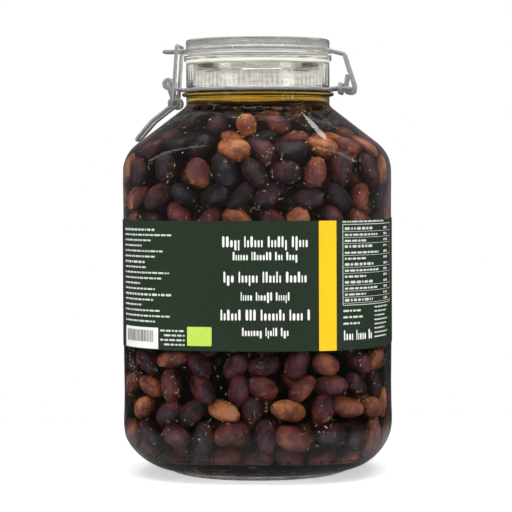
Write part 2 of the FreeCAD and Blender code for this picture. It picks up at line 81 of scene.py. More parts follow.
class Shader:
    """A material's node tree, with short calls for the nodes used here."""

    def __init__(self, name):
        self.material = bpy.data.materials.new(name)
        self.material.use_nodes = True
        self.tree = self.material.node_tree
        self.tree.nodes.clear()
        self.out = self.tree.nodes.new("ShaderNodeOutputMaterial")

    def node(self, kind, inputs=None, **settings):
        made = self.tree.nodes.new(kind)
        for key, value in settings.items():
            setattr(made, key, value)
        for key, value in (inputs or {}).items():
            self.put(made.inputs[key], value)
        return made

    def put(self, socket, value):
        if isinstance(value, bpy.types.NodeSocket):
            self.tree.links.new(value, socket)
        else:
            socket.default_value = value

    def where(self):
        return self.node("ShaderNodeTexCoord").outputs["Object"]

    def scaled(self, factors):
        moved = self.node("ShaderNodeMapping", {"Vector": self.where(), "Scale": factors})
        return moved.outputs["Vector"]

    def noise(self, scale, detail=4.0, vector=None, roughness=0.55, distortion=0.0):
        settings = {
            "Vector": vector or self.where(),
            "Scale": scale,
            "Detail": detail,
            "Roughness": roughness,
            "Distortion": distortion,
        }
        return self.node("ShaderNodeTexNoise", settings).outputs["Fac"]

    def value(self, name):
        return self.node("ShaderNodeAttribute", attribute_name=name).outputs["Fac"]

    def math(self, operation, a, b=0.0, c=0.0, clamp=False):
        made = self.node("ShaderNodeMath", {0: a, 1: b, 2: c}, operation=operation, use_clamp=clamp)
        return made.outputs[0]

    def grey(self, level):
        return self.node("ShaderNodeCombineColor", {0: level, 1: level, 2: level}).outputs[0]

    def span(self, value, low, high, to_low=0.0, to_high=1.0, smooth=False):
        kind = "SMOOTHSTEP" if smooth else "LINEAR"
        settings = {0: value, 1: low, 2: high, 3: to_low, 4: to_high}
        return self.node("ShaderNodeMapRange", settings, interpolation_type=kind).outputs[0]

    def mix(self, factor, a, b, blend="MIX"):
        made = self.node("ShaderNodeMix", {0: factor, 6: a, 7: b}, data_type="RGBA", blend_type=blend)
        return made.outputs[2]

    def ramp(self, value, stops):
        made = self.node("ShaderNodeValToRGB", {"Fac": value})
        band = made.color_ramp
        while len(band.elements) < len(stops):
            band.elements.new(0.5)
        for element, (place, colour) in zip(band.elements, stops):
            element.position = place
            element.color = colour
        return made.outputs["Color"]

    def bump(self, height, strength, distance, normal=None):
        settings = {"Height": height, "Strength": strength, "Distance": distance}
        if normal is not None:
            settings["Normal"] = normal
        return self.node("ShaderNodeBump", settings).outputs["Normal"]

    def principled(self, inputs):
        return self.node("ShaderNodeBsdfPrincipled", inputs).outputs[0]

    def done(self, surface, volume=None):
        self.put(self.out.inputs["Surface"], surface)
        if volume is not None:
            self.put(self.out.inputs["Volume"], volume)
        return self.material

    def lamps_through(self, surface):
        """Lets lamps shine through glass instead of casting its shadow as if it were solid."""
        path = self.node("ShaderNodeLightPath")
        clear = self.node("ShaderNodeBsdfTransparent").outputs[0]
        mixed = self.node("ShaderNodeMixShader", {0: path.outputs["Is Shadow Ray"], 1: surface, 2: clear})
        return mixed.outputs[0]


def srgb(red, green, blue):
    """A colour as seen on screen, 0 to 255, as the linear colour that nodes take."""
    levels = []
    for level in (red, green, blue):
        c = level / 255
        levels.append(c / 12.92 if c <= 0.04045 else ((c + 0.055) / 1.055) ** 2.4)
    return (*levels, 1.0)


# ---------------------------------------------------------------- places taken from the frame


class Wall:
    """Radius of a node's outer surface at any angle and height, read off its mesh."""

    def __init__(self, node, low, high, rows=120, columns=180):
        mesh = nodes[node].data
        tree = BVHTree.FromPolygons([v.co for v in mesh.vertices], [p.vertices for p in mesh.polygons])
        self.low, self.high, self.rows, self.columns = low, high, rows, columns
        self.table = np.zeros((rows, columns))
        far = 0.3
        for row in range(rows):
            height = low + (high - low) * row / (rows - 1)
            for column in range(columns):
                angle = 2 * math.pi * column / columns
                out = Vector((math.cos(angle), math.sin(angle), 0))
                hit = tree.ray_cast(out * far + Vector((0, 0, height)), -out)
                self.table[row, column] = math.hypot(hit[0].x, hit[0].y) if hit[0] else 0.0

    def radius(self, angle, height):
        row = np.clip((height - self.low) / (self.high - self.low), 0, 1) * (self.rows - 1)
        column = (angle / (2 * math.pi) * self.columns) % self.columns
        r0 = np.minimum(row.astype(int), self.rows - 2)
        c0 = column.astype(int) % self.columns
        c1 = (c0 + 1) % self.columns
        fr, fc = row - r0, column - np.floor(column)
        t = self.table
        below = t[r0, c0] * (1 - fc) + t[r0, c1] * fc
        above = t[r0 + 1, c0] * (1 - fc) + t[r0 + 1, c1] * fc
        return below * (1 - fr) + above * fr

    def gap(self, points):
        """How far inside the wall each point is, and the outward direction there."""
        angle = np.arctan2(points[:, 1], points[:, 0])
        reach = np.hypot(points[:, 0], points[:, 1])
        here = self.radius(angle, points[:, 2])
        rise = (self.radius(angle, points[:, 2] + MM) - self.radius(angle, points[:, 2] - MM)) / (2 * MM)
        steep = 1 / np.sqrt(1 + rise**2)
        outward = np.stack([np.cos(angle) * steep, np.sin(angle) * steep, -rise * steep], 1)
        return (here - reach) * steep, outward


oil_low, oil_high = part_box("oil")
heap_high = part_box("olives")[1]
lid_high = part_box("lid")[1]
label_low, label_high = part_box("label")
floor_of_oil = oil_low.z
oil_level = oil_high.z
inside = Wall("oil", floor_of_oil + 0.4 * MM, oil_level - 0.4 * MM)

# ---------------------------------------------------------------- glass


def is_wetted(polygon, centre):
    """True on the inside of the jar's wall below the oil's level."""
    inward = polygon.normal.x * centre.x + polygon.normal.y * centre.y < 0
    if centre.z > oil_level - 0.2 * MM or centre.z < floor_of_oil - 0.5 * MM:
        return False
    angle = math.atan2(centre.y, centre.x)
    limit = inside.radius(np.array([angle]), np.array([centre.z]))[0]
    return (inward or polygon.normal.z > 0) and math.hypot(centre.x, centre.y) < limit + 1.2 * MM


def glass_material(name, tint, ripple, refraction_only=False, stipple=None, neck_tint_and_foot_ring=False):
    s = Shader(name)
    slow = s.noise(16.0, 2.0)
    fine = s.noise(90.0, 3.0)
    height = s.math("ADD", slow, s.math("MULTIPLY", fine, 0.12))
    normal = s.bump(height, 1.0, ripple)
    if stipple is not None:
        normal = s.bump(stipple(s), 0.6, 0.0004, normal)
    if neck_tint_and_foot_ring:
        # the glass of the neck above the oil's level is tinted a darker grey, in fine horizontal streaks
        height = s.node("ShaderNodeSeparateXYZ", {"Vector": s.where()}).outputs["Z"]
        above = s.span(height, oil_level - 2 * MM, oil_level + 3 * MM)
        neck_streaks = s.span(s.noise(140.0, 5.0, s.scaled((1, 1, 3.0))), 0.35, 0.65)
        neck_grey = s.mix(neck_streaks, (0.66, 0.65, 0.60, 1.0), (0.88, 0.87, 0.83, 1.0))
        tint = s.mix(above, tint, neck_grey)
    if refraction_only:
        surface = s.node("ShaderNodeBsdfRefraction", {"Color": tint, "Roughness": 0.0, "IOR": 1.5}).outputs[0]
    else:
        surface = s.principled(
            {
                "Base Color": tint,
                "Roughness": s.span(s.noise(40.0, 5.0), 0.45, 0.75, 0.0, 0.035),
                "IOR": 1.5,
                "Transmission Weight": 1.0,
                "Normal": normal,
            }
        )
    if neck_tint_and_foot_ring:
        # the clear glass foot ring is drawn as lit grey translucent and diffuse glass with darker noisy
        # lines: painted light standing in for the white floor seen through it
        foot_band = s.span(height, 4.6 * MM, 2.6 * MM, 0.0, 0.55)
        painted_floor_grey = s.span(s.noise(260.0, 2.0), 0.4, 0.6, 0.5, 0.9)
        grey = s.grey(painted_floor_grey)
        foot_translucent = s.node("ShaderNodeBsdfTranslucent", {"Color": grey}).outputs[0]
        matte = s.node("ShaderNodeBsdfDiffuse", {"Color": grey}).outputs[0]
        ring = s.node("ShaderNodeMixShader", {0: 0.5, 1: foot_translucent, 2: matte}).outputs[0]
        surface = s.node("ShaderNodeMixShader", {0: foot_band, 1: surface, 2: ring}).outputs[0]
    return s.done(s.lamps_through(surface))


def lid_stipple(s):
    """Fine pressed dots on the edge of the upper flange."""
    where = s.node("ShaderNodeSeparateXYZ", {"Vector": s.where()}).outputs
    band = s.span(where["Z"], lid_high.z - 5.6 * MM, lid_high.z - 5.2 * MM)
    dots = s.node("ShaderNodeTexVoronoi", {"Vector": s.where(), "Scale": 900.0}).outputs["Distance"]
    return s.math("MULTIPLY", dots, band)


glass_tint = (0.96, 0.985, 0.975, 1.0)
jar_glass = glass_material("jar_glass", glass_tint, 0.00022, neck_tint_and_foot_ring=True)
wet_glass = glass_material("wet_glass", (1.0, 1.0, 1.0, 1.0), 0.0, refraction_only=True)
lid_glass = glass_material("lid_glass", (0.91, 0.92, 0.9, 1.0), 0.0002, stipple=lid_stipple)


def glass_jar():
    mesh = nodes["jar"].data.copy()
    mesh.name = "glass_jar"
    mesh.materials.clear()
    piece = bpy.data.objects.new("glass_jar", mesh)
    bpy.context.scene.collection.objects.link(piece)
    dress(piece, jar_glass, wet_glass)
    mesh.polygons.foreach_set("material_index", [int(is_wetted(p, p.center)) for p in mesh.polygons])
    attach(piece, "jar_body")
    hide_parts("jar")


glass_jar()
dress(nodes["lid"], lid_glass)

# ---------------------------------------------------------------- oil


def oil_material(name, refraction_only):
    s = Shader(name)
    if refraction_only:
        bsdf = s.node("ShaderNodeBsdfRefraction", {"Color": (1, 1, 1, 1), "Roughness": 0.0, "IOR": 1.47})
        surface = bsdf.outputs[0]
    else:
        ripple = s.bump(s.noise(60.0, 2.0), 1.0, 0.0003)
        surface = s.principled(
            {
                "Base Color": (1.0, 0.98, 0.9, 1.0),
                "Roughness": 0.0,
                "IOR": 1.47,
                "Transmission Weight": 1.0,
                "Normal": ripple,
            }
        )
    tint = {"Color": (0.77, 0.63, 0.05, 1.0), "Density": 52.0}
    volume = s.node("ShaderNodeVolumeAbsorption", tint).outputs[0]
    return s.done(s.lamps_through(surface), volume)


def oil_body():
    """The oil as one body that reaches just into the glass, its top climbing a little at the glass."""
    reach_in = 0.25 * MM
    columns, rows = 144, 90
    points, faces, slots = [], [], []
    low = floor_of_oil - reach_in
    for row in range(rows + 1):
        height = floor_of_oil + 0.4 * MM + (oil_level - floor_of_oil - 0.8 * MM) * row / rows
        angles = np.arange(columns) * 2 * math.pi / columns
        radii = inside.radius(angles, np.full(columns, height)) + reach_in
        z = low if row == 0 else (oil_level if row == rows else height)
        for angle, radius in zip(angles, radii):
            points.append((radius * math.cos(angle), radius * math.sin(angle), z))
    for row in range(rows):
        for column in range(columns):
            a = row * columns + column
            b = row * columns + (column + 1) % columns
            faces.append((a, b, b + columns, a + columns))
            slots.append(0)
    rim = rows * columns
    top_rings = ((0.985, -0.5 * MM), (0.95, -0.9 * MM), (0.8, -1.0 * MM), (0.4, -1.0 * MM))
    previous = rim
    for share, drop in top_rings:
        start = len(points)
        for column in range(columns):
            x, y, z = points[rim + column]
            points.append((x * share, y * share, oil_level + drop))
        for column in range(columns):
            following = (column + 1) % columns
            faces.append((previous + column, previous + following, start + following, start + column))
            slots.append(1)
        previous = start
    faces.append(tuple(previous + column for column in range(columns)))
    slots.append(1)
    faces.append(tuple(reversed(range(columns))))
    slots.append(0)
    piece = mesh_piece("oil_body", points, faces, slots=slots)
    dress(piece, oil_material("oil_side", True), oil_material("oil_top", False))
    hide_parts("oil")


oil_body()

# ---------------------------------------------------------------- where the olives lie

OLIVE_LONG, OLIVE_WIDE = 21.0 * MM, 14.4 * MM
END_OUT = 5.2 * MM  # an olive is treated as a middle ball and two smaller end balls
BALL_RADII = np.array([5.1 * MM, 7.1 * MM, 5.1 * MM])
BALL_PLACES = np.array([-1.0, 0.0, 1.0]) * END_OUT
heap_top = heap_high.z - 7 * MM


def seeded_layer(depth, pitch_across, pitch_up, low, high):
    """Olive centres on one shell of the heap, depth inside the glass, in staggered rows."""
    centres = []
    rows = int((high - low) / pitch_up)
    for row in range(rows + 1):
        height = low + (high - low) * row / max(rows, 1)
        all_round = np.linspace(0, 2 * math.pi, 36, endpoint=False)
        mean = inside.radius(all_round, np.full(36, height)).mean() - depth
        if mean < 6 * MM:
            continue
        count = max(4, int(2 * math.pi * mean / pitch_across))
        turn = rng.uniform(0, 2 * math.pi)
        for i in range(count):
            angle = turn + 2 * math.pi * (i + rng.uniform(-0.18, 0.18)) / count
            wall = inside.radius(np.array([angle % (2 * math.pi)]), np.array([height]))[0]
            reach = wall - depth
            lifted = height + rng.uniform(-2, 2) * MM
            centres.append((reach * math.cos(angle), reach * math.sin(angle), lifted))
    return np.array(centres)


def packed_heap():
    """Centres and long axes of the olives, pushed apart until they only press lightly on each other."""
    low, high = floor_of_oil + 7 * MM, heap_top - 6 * MM
    outer = seeded_layer(8 * MM, 18.6 * MM, 14.2 * MM, low, high)
    second = seeded_layer(21 * MM, 19.5 * MM, 15.0 * MM, low, high)
    top = seeded_layer(34 * MM, 18.0 * MM, 14.0 * MM, high - 26 * MM, high)
    centres = np.concatenate([outer, second, top])
    layer = np.concatenate([np.zeros(len(outer)), np.ones(len(second)), np.ones(len(top))])
    tilt = rng.uniform(0, math.pi, len(centres))
    angle = np.arctan2(centres[:, 1], centres[:, 0])
    side = np.stack([-np.sin(angle), np.cos(angle), np.zeros(len(angle))], 1)
    out = np.stack([np.cos(angle), np.sin(angle), np.zeros(len(angle))], 1)
    lean = np.clip(rng.normal(0, 0.35, len(centres)), -0.9, 0.9)
    axes = side * np.cos(tilt)[:, None] + np.array([0, 0, 1.0]) * np.sin(tilt)[:, None] + out * lean[:, None]
    axes /= np.linalg.norm(axes, axis=1)[:, None]
    for step in range(90):
        if step % 10 == 0:
            apart = np.linalg.norm(centres[:, None] - centres[None], axis=2)
            first, other = np.nonzero(np.triu(apart < 24 * MM, 1))
        move, turn = np.zeros_like(centres), np.zeros_like(axes)
        balls = centres[:, None] + axes[:, None] * BALL_PLACES[None, :, None]
        for i in range(3):
            for j in range(3):
                between = balls[first, i] - balls[other, j]
                distance = np.maximum(np.linalg.norm(between, axis=1), 1e-6)
                overlap = np.maximum((BALL_RADII[i] + BALL_RADII[j]) * 0.97 - distance, 0)
                push = between / distance[:, None] * (overlap * 0.28)[:, None]
                np.add.at(move, first, push)
                np.add.at(move, other, -push)
                np.add.at(turn, first, push * BALL_PLACES[i])
                np.add.at(turn, other, -push * BALL_PLACES[j])
        for i in range(3):
            gap, outward = inside.gap(balls[:, i])
            deep = np.maximum(BALL_RADII[i] * 0.97 - gap, 0)
            move -= outward * (deep * 0.4)[:, None]
            turn -= outward * (deep * 0.4 * BALL_PLACES[i])[:, None]
            under = np.maximum(floor_of_oil + BALL_RADII[i] - balls[:, i, 2], 0)
            over = np.maximum(balls[:, i, 2] + BALL_RADII[i] - heap_top, 0)
            move[:, 2] += (under - over) * 0.4
        gap, outward = inside.gap(centres)
        loose = np.where(layer == 0, np.clip(gap - 7.2 * MM, 0, 2 * MM), 0)
        centres += move + outward * (loose * 0.25)[:, None]
        axes += turn / (END_OUT**2 * 2.5)
        axes /= np.linalg.norm(axes, axis=1)[:, None]
    return centres, axes, layer


# ---------------------------------------------------------------- one olive


def olive_outline(rings, pitted):
    """(place along the olive, radius, openness) from the closed tip to the open or second end."""
    outline = []
    last = 0.93 if pitted else 1.0
    for i in range(rings + 1):
        t = last * i / rings
        along = -math.cos(math.pi * t)
        radius = math.sin(math.pi * t) ** 0.8 * (1 - 0.10 * along)
        outline.append((along, max(radius, 0.004), 0.0))
    if pitted:
        along, radius, _ = outline[-1]
        outline += [
            (along + 0.015, radius * 0.82, 0.35),
            (along - 0.05, radius * 0.66, 0.8),
            (along - 0.25, radius * 0.58, 1.0),
            (along - 0.55, radius * 0.50, 1.0),
            (along - 0.60, 0.01, 1.0),
        ]
    return outline


def olive_points(outline, sides, seed, wrinkled):
    """Points of one olive along +X, with its dents, creases and torn rim."""
    draw = np.random.default_rng(seed)
    long_half = OLIVE_LONG / 2 * draw.uniform(0.9, 1.1)
    wide_half = OLIVE_WIDE / 2 * draw.uniform(0.92, 1.06)
    flat = draw.uniform(0.86, 1.0)
    crease_at = draw.uniform(0, 2 * math.pi, 3)
    crease_deep = draw.uniform(0.0, 1.0, 3) ** 2 * 0.13
    bend = draw.uniform(-0.06, 0.06)
    offset = Vector(draw.uniform(-50, 50, 3))
    points, opened = [], []
    for along, radius, open_end in outline:
        belly = math.sqrt(max(0.0, 1 - along * along))
        for side in range(sides):
            phi = 2 * math.pi * side / sides
            reach = radius
            for at, deep in zip(crease_at, crease_deep):
                away = math.remainder(phi - at, 2 * math.pi)
                reach -= deep * belly * math.exp(-((away / 0.3) ** 2))
            if wrinkled:
                spot = Vector((along * 1.3, radius * math.cos(phi) * 2.4, radius * math.sin(phi) * 2.4))
                spot += offset
                reach *= 1 + 0.11 * noise.noise(spot) + 0.05 * noise.noise(spot * 2.7)
            if 0.2 < open_end < 0.9:
                torn = offset + Vector((math.cos(phi) * 1.6, math.sin(phi) * 1.6, 0))
                reach *= 1 + 0.22 * noise.noise(torn)
            points.append(
                (
                    along * long_half,
                    reach * wide_half * math.cos(phi) + bend * long_half * belly,
                    reach * wide_half * flat * math.sin(phi),
                )
            )
            opened.append(open_end)
    return np.array(points), opened


def ring_faces(rings, sides, start):
    faces = []
    for ring in range(rings - 1):
        for side in range(sides):
            a = start + ring * sides + side
            b = start + ring * sides + (side + 1) % sides
            faces.append((a, b, b + sides, a + sides))
    faces.append(tuple(start + side for side in reversed(range(sides))))
    faces.append(tuple(start + (rings - 1) * sides + side for side in range(sides)))
    return faces


def pressed(points):
    """Flattens what would stand through the glass or the jar's floor."""
    gap, outward = inside.gap(points)
    deep = np.maximum(0.3 * MM - gap, 0)
    points = points - outward * deep[:, None]
    points[:, 2] = np.maximum(points[:, 2], floor_of_oil + 0.2 * MM)
    return points


def tone_of(height, draw):
    """0 is black, 0.35 plum, 0.6 red-brown and 1 tan. The upper olives vary more than the lower ones."""
    upper = height > label_high.z - 10 * MM
    shares = (0.30, 0.32, 0.20, 0.18) if upper else (0.20, 0.54, 0.22, 0.04)
    kind = draw.choice(4, p=shares)
    spread = ((0.0, 0.18), (0.22, 0.48), (0.5, 0.74), (0.8, 1.0))[kind]
    return draw.uniform(*spread)


def olive_heap():
    centres, axes, layer = packed_heap()
    outlines = {0: (olive_outline(15, True), 20), 1: (olive_outline(9, True), 12)}
    batches = {}
    for index, (centre, axis) in enumerate(zip(centres, axes)):
        draw = np.random.default_rng(1000 + index)
        tone = tone_of(centre[2], draw)
        inner = int(layer[index])
        outline, sides = outlines[inner]
        if inner:
            kind = "olives_inner"
        elif tone < 0.2:
            kind = "olives_dark"
        elif tone < 0.42:
            kind = "olives_plum"
        else:
            kind = "olives_brown"
        local, opened = olive_points(outline, sides, 5000 + index, not inner)
        if draw.random() < 0.5:
            axis = -axis
        across = np.cross(axis, [0.3, 0.2, 1.0])
        across /= np.linalg.norm(across)
        third = np.cross(axis, across)
        roll = draw.uniform(0, 2 * math.pi)
        u = across * math.cos(roll) + third * math.sin(roll)
        v = np.cross(axis, u)
        placed = pressed(centre + local @ np.array([axis, u, v]))
        batch = batches.setdefault(kind, {"points": [], "faces": [], "tone": [], "open": [], "seed": []})
        start = sum(len(p) for p in batch["points"])
        batch["points"].append(placed)
        batch["faces"] += ring_faces(len(outline), sides, start)
        batch["tone"] += [tone] * len(placed)
        batch["seed"] += [draw.random()] * len(placed)
        batch["open"] += opened
    for kind, batch in batches.items():
        values = {"tone": batch["tone"], "open": batch["open"], "seed": batch["seed"]}
        piece = mesh_piece(kind, np.concatenate(batch["points"]), batch["faces"], values=values)
        dress(piece, olive_skin)


def olive_material():
    s = Shader("olive_skin")
    tone = s.value("tone")
    seed = s.value("seed")
    shift = s.node("ShaderNodeCombineXYZ", {0: seed, 1: s.math("MULTIPLY", seed, 3.7), 2: seed}).outputs[0]
    place = s.node("ShaderNodeVectorMath", {0: s.where(), 1: shift}, operation="ADD").outputs[0]
    cloud = s.noise(95.0, 3.0, place)
    fine = s.noise(520.0, 4.0, place)
    mottled = s.math("ADD", tone, s.span(cloud, 0.34, 0.66, -0.26, 0.2))
    colour = s.ramp(
        s.math("ADD", mottled, s.span(fine, 0.3, 0.7, -0.1, 0.1)),
        (
            (0.0, srgb(22, 17, 25)),
            (0.2, srgb(42, 24, 35)),
            (0.4, srgb(76, 36, 47)),
            (0.62, srgb(102, 52, 52)),
            (0.82, srgb(138, 80, 58)),
            (1.0, srgb(172, 112, 78)),
        ),
    )
    dots = s.node("ShaderNodeTexVoronoi", {"Vector": place, "Scale": 620.0}).outputs["Distance"]
    freckle = s.span(dots, 0.10, 0.2, 0.72, 1.0)
    freckled = s.mix(1.0, colour, s.grey(freckle), "MULTIPLY")
    flesh = s.mix(s.span(s.value("open"), 0.1, 0.5), freckled, s.mix(0.5, freckled, srgb(120, 70, 44)))
    # inside the pit hole the colour goes to near-black: painted shade in the hole
    skin_and_painted_pit_shade = s.mix(s.span(s.value("open"), 0.6, 1.0), flesh, srgb(26, 14, 12))
    wrinkles = s.noise(170.0, 5.0, place, 0.6, 0.6)
    normal = s.bump(s.math("ADD", wrinkles, s.math("MULTIPLY", fine, 0.25)), 0.8, 0.0013)
    surface = s.principled(
        {
            "Base Color": skin_and_painted_pit_shade,
            "Roughness": s.span(fine, 0.3, 0.7, 0.26, 0.48),
            "Specular IOR Level": 0.32,
            "Normal": normal,
        }
    )
    return s.done(surface)


olive_skin = olive_material()
olive_heap()


def heap_core():
    """The unseen middle of the heap: a lumpy body behind the two layers of olives, in a dark olive tone that
    is painted shade.
    """
    columns, rows = 96, 60
    depth = 27 * MM
    points, faces = [], []
    low, high = floor_of_oil + 8 * MM, heap_top - 20 * MM
    for row in range(rows + 1):
        height = low + (high - low) * row / rows
        angles = np.arange(columns) * 2 * math.pi / columns
        radii = inside.radius(angles, np.full(columns, height)) - depth
        for angle, radius in zip(angles, radii):
            direction = Vector((math.cos(angle), math.sin(angle), 0))
            lump = noise.noise((direction * radius + Vector((0, 0, height))) * 75)
            reach = max(radius + 2.5 * MM * lump, 3 * MM)
            points.append((reach * direction.x, reach * direction.y, height))
    for row in range(rows):
        for column in range(columns):
            a = row * columns + column
            b = row * columns + (column + 1) % columns
            faces.append((a, b, b + columns, a + columns))
    faces.append(tuple(reversed(range(columns))))
    faces.append(tuple(rows * columns + column for column in range(columns)))
    none = np.zeros(len(points))
    # tone 0.12 is a near-black olive colour: painted shade deep in the heap
    values = {"tone": none + 0.12, "open": none, "seed": none}
    piece = mesh_piece("heap_core", points, faces, values=values)
    dress(piece, olive_skin)
    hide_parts("olives")


heap_core()

# ---------------------------------------------------------------- herbs


def herb_material():
    s = Shader("herb_flecks")
    colour = s.ramp(
        s.value("tone"),
        (
            (0.0, srgb(120, 104, 58)),
            (0.4, srgb(184, 164, 100)),
            (0.75, srgb(216, 198, 142)),
            (1.0, srgb(236, 226, 184)),
        ),
    )
    grain = s.noise(1500.0, 3.0)
    mottled = s.mix(s.span(grain, 0.35, 0.65, 0.0, 0.45), colour, srgb(84, 74, 38))
    inputs = {"Base Color": mottled, "Roughness": 0.6, "Normal": s.bump(grain, 0.5, 0.0002)}
    return s.done(s.principled(inputs))


def herbs():
    """Chopped leaf and stem: small bent strips that lie on the olives along the glass, in loose clusters."""
    points, faces, tones = [], [], []

    def strip(centre, out, length, width, turn, tone):
        side = np.cross([0, 0, 1.0], out)
        side /= max(np.linalg.norm(side), 1e-6)
        up = np.cross(out, side)
        along = side * math.cos(turn) + up * math.sin(turn)
        across = np.cross(out, along)
        curl = rng.uniform(-0.35, 0.35)
        start = len(points)
        for i in range(4):
            t = i / 3 - 0.5
            middle = centre + along * length * t + across * length * curl * t * t
            middle = middle + out * width * 0.3 * math.sin(3 * t)
            half = across * width * (0.5 - abs(t) * 0.55) + out * width * 0.12
            points.append(middle - half)
            points.append(middle + half)
        for i in range(3):
            a = start + 2 * i
            faces.append((a, a + 1, a + 3, a + 2))
        tones.extend([tone] * 8)

    clusters = 900
    for _ in range(clusters):
        angle = rng.uniform(0, 2 * math.pi)
        height = rng.uniform(floor_of_oil + 6 * MM, heap_top + 2 * MM)
        count = 1 + int(rng.exponential(3.2))
        for _ in range(count):
            a = angle + rng.normal(0, 0.05)
            z = min(height + rng.normal(0, 4.5) * MM, oil_level - 3 * MM)
            wall = inside.radius(np.array([a % (2 * math.pi)]), np.array([z]))[0]
            spot = np.array([[wall * math.cos(a), wall * math.sin(a), z]])
            out = inside.gap(spot)[1][0]
            deep = 0.3 * MM + rng.exponential(0.5) * MM
            stem = rng.random() < 0.3
            length = rng.uniform(1.6, 3.6) * MM if stem else rng.uniform(0.7, 1.8) * MM
            width = 0.28 * MM if stem else rng.uniform(0.4, 0.85) * MM
            strip(spot[0] - out * deep, out, length, width, rng.uniform(0, math.pi), rng.beta(2.2, 1.6))
    piece = mesh_piece("herb_flecks", points, faces, values={"tone": tones})
    dress(piece, herb_material())


herbs()

# ---------------------------------------------------------------- label


class LabelPlane:
    """Takes (distance along the paper from the middle of the front, height) to a point on the label."""

    def __init__(self):
        middle = (label_low.z + label_high.z) / 2
        paper = Wall("label", middle - MM, middle + MM, 2, 1440)
        angles = -math.pi / 2 + np.linspace(-2.6, 2.6, 1441)
        radii = paper.radius(angles % (2 * math.pi), np.full(len(angles), middle))
        self.xs, self.ys = radii * np.cos(angles), radii * np.sin(angles)
        steps = np.hypot(np.diff(self.xs), np.diff(self.ys))
        run = np.concatenate([[0], np.cumsum(steps)])
        self.run = run - run[len(run) // 2]

    def place(self, along, height, lift=0.06 * MM):
        x = np.interp(along, self.run, self.xs)
        y = np.interp(along, self.run, self.ys)
        reach = math.hypot(x, y)
        return (x * (1 + lift / reach), y * (1 + lift / reach), height)


paper_plane = LabelPlane()


class Print:
    """Flat printed shapes of one ink, joined into one piece."""

    def __init__(self, name, lift):
        self.name, self.lift = name, lift
        self.points, self.faces = [], []

    def bar(self, left, right, low, high, corner=0.0):
        """A bar on the paper, in millimetres, its ends rounded by corner."""
        pieces = max(1, int((right - left) / 1.6))
        stops = [left + (right - left) * i / pieces for i in range(pieces + 1)]
        if corner > 0:
            stops = sorted(set(stops + [left + corner, right - corner]))
            stops = [x for x in stops if left <= x <= right]
        start = len(self.points)
        for x in stops:
            near = min(x - left, right - x)
            pull = 0.0
            if corner > 0 and near < corner:
                pull = corner - math.sqrt(max(0.0, corner**2 - (corner - near) ** 2))
            for z in (low + pull, high - pull):
                self.points.append(paper_plane.place(x * MM, z * MM, self.lift * MM))
        for i in range(len(stops) - 1):
            a = start + 2 * i
            self.faces.append((a, a + 2, a + 3, a + 1))

    def frame(self, left, right, low, high, line):
        self.bar(left, right, low, low + line)
        self.bar(left, right, high - line, high)
        self.bar(left, left + line, low, high)
        self.bar(right - line, right, low, high)

    def greeked(self, left, right, low, height, seed, word=(3, 8)):
        """A line of made-up words: letter-sized lozenges with gaps, no letters."""
        draw = np.random.default_rng(seed)
        strokes = []
        x = 0.0
        while x < right - left:
            first = True
            for _ in range(draw.integers(*word)):
                wide = height * draw.uniform(0.16, 0.36)
                if x + wide > right - left:
                    break
                tall = height * (1.5 if first or draw.random() < 0.2 else 1.0)
                sunk = height * (0.4 if not first and draw.random() < 0.12 else 0.0)
                strokes.append((x, x + wide, low - sunk, low + tall))
                x += wide + height * 0.2
                first = False
            x += height * 0.45
        middle = (strokes[0][0] + strokes[-1][1]) / 2
        for start, end, bottom, top in strokes:
            place = (left + right) / 2 - middle
            self.bar(start + place, end + place, bottom, top, (end - start) * 0.48)

    def words(self, left, right, low, height, seed):
        """A line of small print: one soft bar per word."""
        draw = np.random.default_rng(seed)
        x = left
        while x < right - height:
            wide = min(draw.uniform(1.4, 5.0), right - x)
            self.bar(x, x + wide, low, low + height, height * 0.3)
            x += wide + height * 0.55

    def finish(self, material):
        piece = mesh_piece(self.name, self.points, self.faces)
        return dress(piece, material)


def paper_material(name, colour, spread, roughness=0.42):
    """Coated paper: faint fibres, uneven ink and a soft gloss."""
    s = Shader(name)
    fibres = s.noise(900.0, 4.0, s.scaled((1, 1, 0.5)))
    cloud = s.noise(22.0, 3.0)
    grain = s.span(fibres, 0.3, 0.7, 1 - spread, 1 + spread)
    shade = s.math("MULTIPLY", grain, s.span(cloud, 0.3, 0.7, 0.96, 1.04))
    grey = s.grey(shade)
    inputs = {
        "Base Color": s.mix(1.0, colour, grey, "MULTIPLY"),
        "Roughness": s.span(fibres, 0.3, 0.7, roughness - 0.05, roughness + 0.08),
        "Specular IOR Level": 0.35,
        "Normal": s.bump(fibres, 0.35, 0.00012),
    }
    return s.done(s.principled(inputs))


